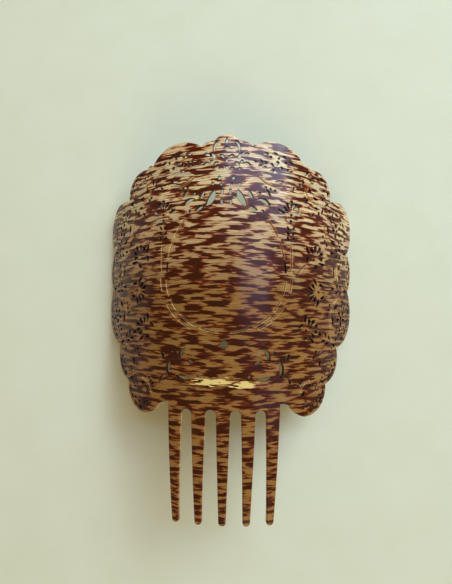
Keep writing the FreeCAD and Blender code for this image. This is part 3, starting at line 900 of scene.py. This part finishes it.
@dataclass
class SubAssembly:
    """Pieces of one sheet that share a slot and a finish."""

    bend: Bend
    seams: Seams
    nodes: tuple[str, ...] = ()
    slot: Slot = Slot.HEADING
    rounding: Rounding = Rounding()
    pieces: list[bpy.types.Object] = field(default_factory=list)

    def build(self) -> None:
        """Makes every piece and puts it in its CAD node's place."""
        for node in self.nodes:
            piece = SheetPiece(node, self.bend, self.seams, self.rounding).build()
            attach(piece, "root")
            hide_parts(node)
            self.pieces.append(piece)
            LOG.info("%s: %d faces", piece.name, len(piece.data.polygons))

    def dress(self, finishes: dict[Surface, bpy.types.Material]) -> None:
        """Dresses the pieces.

        Args:
            finishes: The material of each kind of surface.
        """
        for piece in self.pieces:
            for surface in Surface:
                piece.data.materials.append(finishes[surface])


@dataclass
class Heading(SubAssembly):
    """The pierced heading: five bands in the middle and three pieces of border on each side."""

    nodes: tuple[str, ...] = (
        "crown",
        "lattice_band",
        "medallion",
        "scroll_band",
        "tooth_bar",
        "left_upper_border",
        "left_middle_border",
        "left_lower_border",
        "right_upper_border",
        "right_middle_border",
        "right_lower_border",
    )
    slot: Slot = Slot.HEADING


@dataclass
class Teeth(SubAssembly):
    """The five teeth, which carry the bend on below the heading."""

    nodes: tuple[str, ...] = tuple("tooth_%d" % number for number in range(1, 6))
    slot: Slot = Slot.TEETH


# The studio.


@dataclass(frozen=True)
class AreaLight:
    """A soft rectangular light, aimed at the comb. Lengths are in metres."""

    name: str
    place: tuple[float, float, float]
    size: tuple[float, float]  # level side, leaning side
    brightness: float  # watts for each square metre of its face, over pi
    colour: str
    faces_down: bool = False

    def build(self) -> None:
        """Makes the light."""
        data = bpy.data.lights.new(self.name, "AREA")
        data.shape = "RECTANGLE"
        data.size, data.size_y = self.size
        data.energy = self.brightness * math.pi * self.size[0] * self.size[1]
        data.color = linear(self.colour)[:3]
        light = bpy.data.objects.new(self.name, data)
        light.location = self.place
        if not self.faces_down:
            light.rotation_euler = Vector(self.place).to_track_quat("Z", "Y").to_euler()
        bpy.context.scene.collection.objects.link(light)


@dataclass(frozen=True)
class Camera:
    """A camera over the comb, held by hand nearly square to it. Lengths are in metres."""

    place: tuple[float, float, float] = (0.0213, 0.0065, 0.3757)
    pan: float = 0.0626  # radians to the left
    tilt: float = 0.0468  # radians to the crest
    roll: float = 0.01453  # radians clockwise
    lens: float = 33.47  # millimetres, on a 36 mm sensor
    nearest: float = 0.01  # that it still sees

    def build(self) -> None:
        """Makes the scene's camera."""
        ahead = Vector((-math.sin(self.pan), math.sin(self.tilt), -math.cos(self.pan) * math.cos(self.tilt)))
        ahead.normalize()
        right = ahead.cross(Vector((0, 1, 0))).normalized()
        up = right.cross(ahead)
        c, s = math.cos(self.roll), math.sin(self.roll)
        right, up = right * c + up * s, up * c - right * s
        data = bpy.data.cameras.new("camera")
        data.lens = self.lens
        data.clip_start = self.nearest
        camera = bpy.data.objects.new("camera", data)
        camera.matrix_world = Matrix((right, up, -ahead)).transposed().to_4x4()
        camera.location = self.place
        bpy.context.scene.collection.objects.link(camera)
        bpy.context.scene.camera = camera


@dataclass(frozen=True)
class Studio:
    """A pale floor in a room with soft daylight. Lengths are in metres."""

    floor_size: float = 24.0
    wall: str = "#bdbbae"  # the room's pale walls, low down
    wall_top: float = 0.06  # the sine of the angle above the floor up to which they reach
    ceiling: str = "#977b4c"  # its dim warm ceiling, overhead
    ceiling_edge: float = 0.42  # the sine of the angle from which it spreads
    lights: tuple[AreaLight, ...] = (
        # Two broad lights above and below the comb, which its bend doesn't mirror towards the camera.
        AreaLight("upper_light", (1.5, 1.8, 1.7), (1.8, 1.2), 8.6, "#e6f5ff"),
        AreaLight("lower_light", (0.6, -1.9, 1.6), (1.8, 1.0), 2.2, "#ffe2b4"),
        # Skylight panes at the right, which show as cool sheens on the bend.
        AreaLight("pane_over_crest", (0.62, 0.52, 1.2), (1.5, 0.32), 5.2, "#b8d2ff", True),
        AreaLight("pane_over_middle", (0.5, 0.14, 1.2), (0.6, 0.2), 1.8, "#9cc0ff", True),
        AreaLight("pane_at_right", (1.9, 0.18, 1.2), (0.9, 0.3), 0.3, "#c4d2ff", True),
        AreaLight("pane_below", (1.0, -0.28, 1.2), (1.0, 0.18), 0.6, "#c4d2ff", True),
    )

    def build(self) -> None:
        """Makes the floor, the room around it and the lights."""
        self._build_floor()
        self._build_room()
        for light in self.lights:
            light.build()
        bpy.context.scene.view_settings.view_transform = "Standard"

    def _build_floor(self) -> None:
        """Makes the painted floor that the comb lies on."""
        half = self.floor_size / 2
        corners = [(-half, -half, 0), (half, -half, 0), (half, half, 0), (-half, half, 0)]
        mesh = bpy.data.meshes.new("floor")
        mesh.from_pydata(corners, [], [(0, 1, 2, 3)])
        mesh.materials.append(PaintedBoard().material())
        floor = bpy.data.objects.new("floor", mesh)
        bpy.context.scene.collection.objects.link(floor)

    def _build_room(self) -> None:
        """Makes the light that comes from the walls and the ceiling."""
        world = bpy.data.worlds.new("room")
        bpy.context.scene.world = world
        world.use_nodes = True
        tree = world.node_tree
        way = add_node(tree, "TexCoord").outputs["Generated"]
        rise = add_node(tree, "SeparateXYZ", {0: way}).outputs[2]
        stops = [(self.wall_top, linear(self.wall)), (self.ceiling_edge, linear(self.ceiling))]
        room = add_node(tree, "ValToRGB", {0: rise}, stops=stops).outputs[0]
        tree.links.new(room, tree.nodes["Background"].inputs[0])


def main() -> None:
    """Builds the comb and its studio."""
    logging.basicConfig(level=logging.INFO, format="%(name)s: %(message)s")
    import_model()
    bend = Bend.of_comb()
    seams = Seams.of_comb(bend)
    LOG.info("bend radius %.2f mm", bend.radius / MM)
    finishes = {
        Surface.POLISHED: AcetateSheet().material(),
        Surface.SAWN: SawnAcetateWithPaintedHighlight().material(),
        Surface.RIM: PiercingAcetateWithPaintedShade().material(),
    }
    for part in (Heading(bend=bend, seams=seams), Teeth(bend=bend, seams=seams)):
        part.build()
        part.dress(finishes)
    Camera().build()
    Studio().build()


if __name__ == "__main__":
    main()
